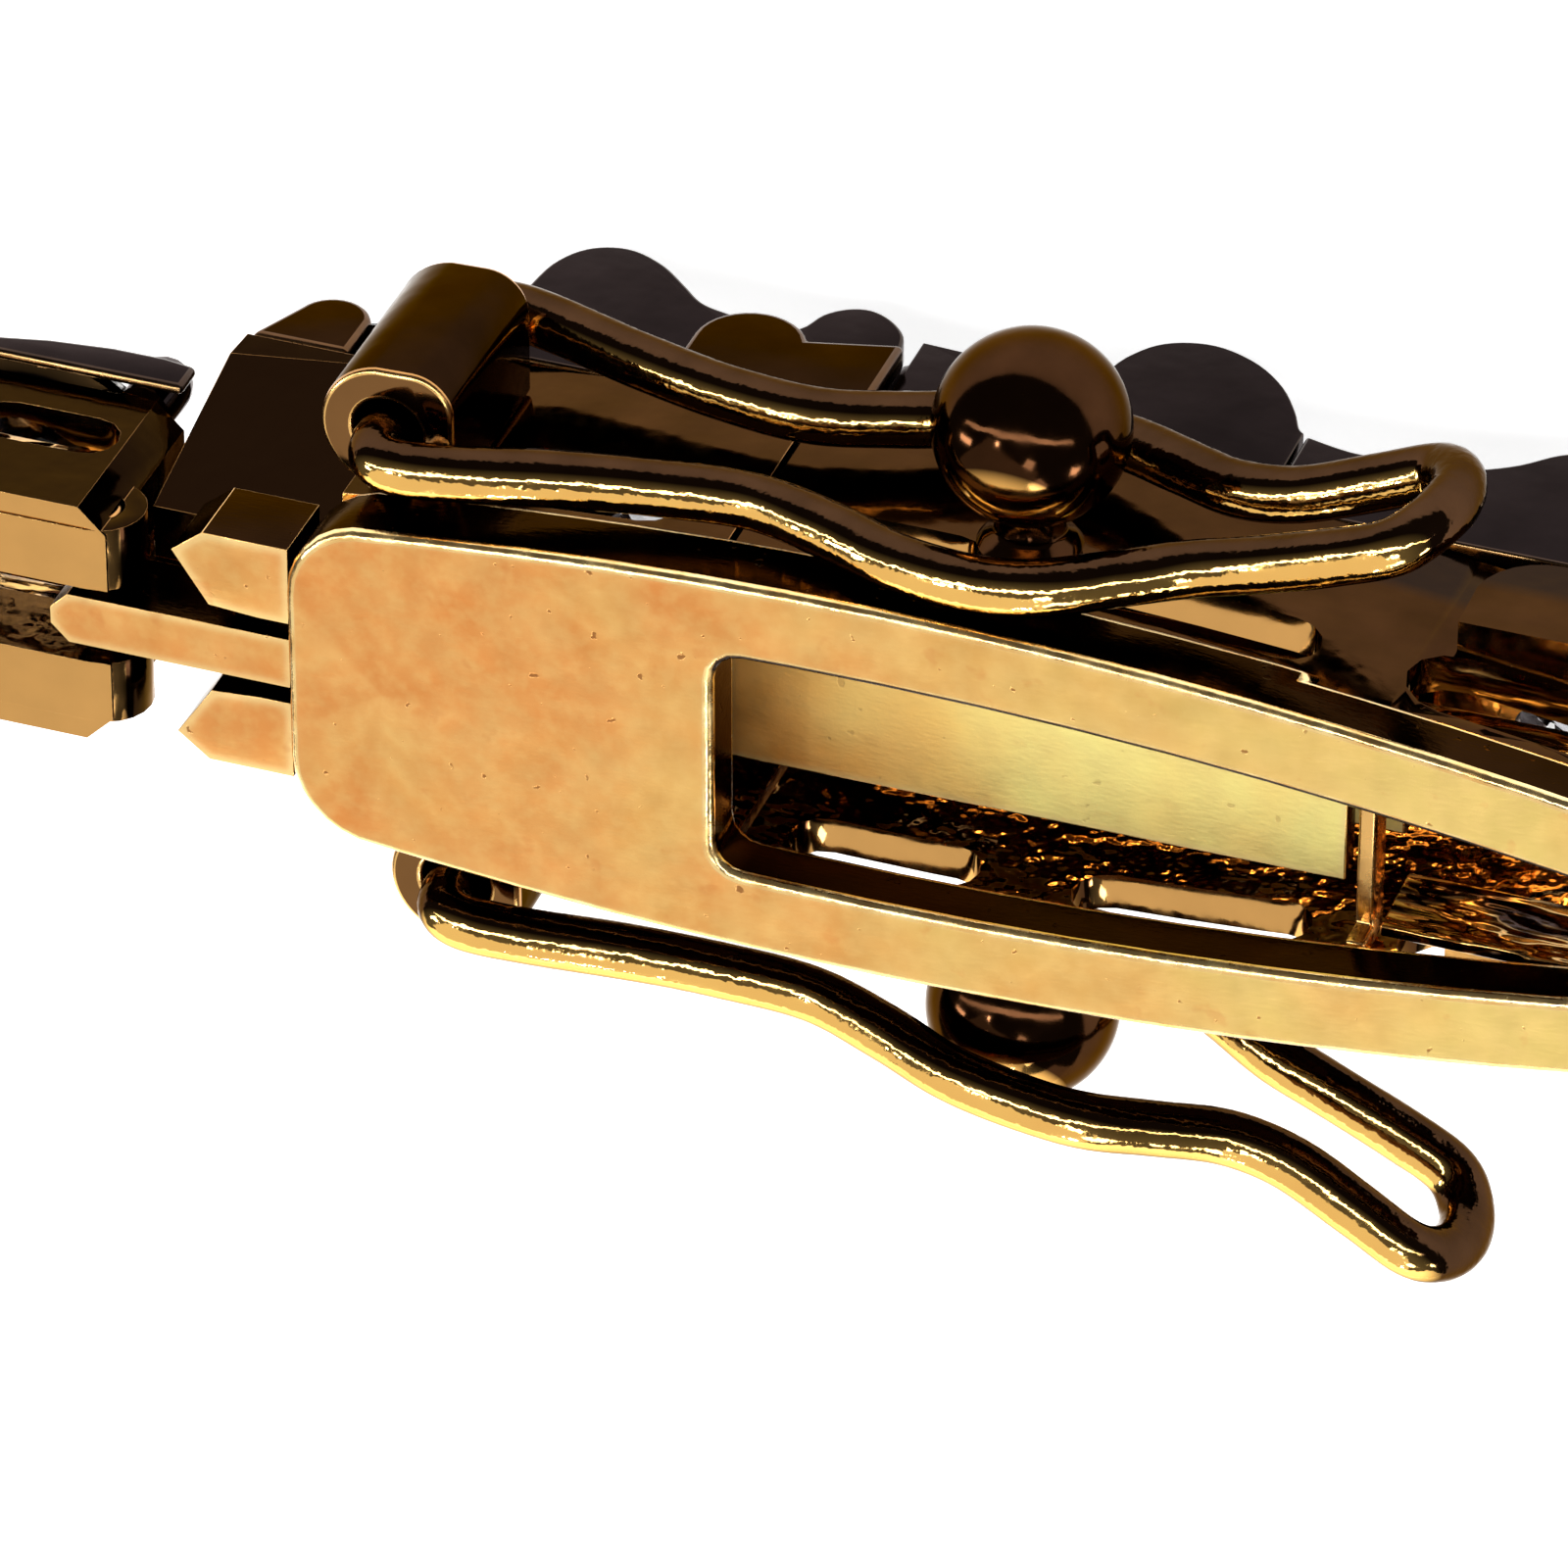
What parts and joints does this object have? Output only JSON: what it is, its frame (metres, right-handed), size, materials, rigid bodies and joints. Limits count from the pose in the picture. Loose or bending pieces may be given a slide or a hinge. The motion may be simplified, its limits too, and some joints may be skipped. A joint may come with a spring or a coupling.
{
  "type": "bracelet box clasp",
  "caption": "Stone-set bracelet box clasp with a sliding sprung tongue, a windowed base plate, figure-eight wire safety catches over ball studs, and one hinged link.",
  "frame": {"origin": "on the outer face of the base plate, on the mid-plane, beside the hinge axes of the two safety catches", "axes": "+X along the bracelet from the closed end to the tongue end, +Y across it, +Z out of the plate towards the wrist; the clasp lies on its stones"},
  "size_m": [0.0228, 0.0103, 0.0063],
  "materials": {
    "satin_gold": "satin gold plate with fine pits and brush marks",
    "polished_gold": "polished gold plate",
    "spring_gold": "bright rolled spring strip",
    "stone": "clear faceted stone"
  },
  "bodies": {
    "box_half": {"base_plate": "satin_gold", "catch_lip": "polished_gold", "link_tab": "satin_gold", "link_pin": "polished_gold", "box_gallery": "polished_gold", "knuckle_upper": "polished_gold", "knuckle_lower": "polished_gold", "box_setting_1": "polished_gold", "box_setting_2": "polished_gold", "box_stone_1": "stone", "box_stone_2": "stone"},
    "tongue_half": {"tongue_gallery": "polished_gold", "tongue_strip": "spring_gold", "ball_stud_upper": "polished_gold", "ball_stud_lower": "polished_gold", "tail_tab": "polished_gold", "tongue_setting_1": "polished_gold", "tongue_setting_2": "polished_gold", "tongue_setting_3": "polished_gold", "tongue_stone_1": "stone", "tongue_stone_2": "stone", "tongue_stone_3": "stone"},
    "leaf": {"spring_leaf": "spring_gold"},
    "catch_upper": {"safety_catch_upper": "polished_gold"},
    "catch_lower": {"safety_catch_lower": "polished_gold"},
    "left_link": {"left_link_body": "polished_gold", "left_link_setting": "polished_gold", "left_link_stone": "stone"}
  },
  "joints": [
    {"name": "tongue_slide", "type": "slide", "parent": "box_half", "child": "tongue_half", "axis": [1, 0, 0], "range_m": [0, 0.009], "deforming": ["spring_leaf"]},
    {"name": "catch_upper_swing", "type": "hinge", "parent": "box_half", "child": "catch_upper", "pos_m": [-0.00025, 0.00262, -0.00185], "axis": [0, 0, 1], "range_deg": [0, 145]},
    {"name": "catch_lower_swing", "type": "hinge", "parent": "box_half", "child": "catch_lower", "pos_m": [0.0004, -0.0029, -0.00185], "axis": [0, 0, -1], "range_deg": [-7.2, 145]},
    {"name": "left_link_hinge", "type": "hinge", "parent": "box_half", "child": "left_link", "pos_m": [-0.00335, 0, -0.00062], "axis": [0, 1, 0], "range_deg": [0, 45]},
    {"name": "leaf_press", "type": "hinge", "parent": "tongue_half", "child": "leaf", "pos_m": [0.0032, 0, -0.00165], "axis": [0, 1, 0], "range_deg": [0, 7], "stiffness_Nm_per_rad": 0.001}
  ],
  "couplings": [
    {"joint": "catch_upper_swing", "follows": "tongue_slide", "rad_per_m": 279.25},
    {"joint": "catch_lower_swing", "follows": "tongue_slide", "rad_per_m": 279.25}
  ]
}
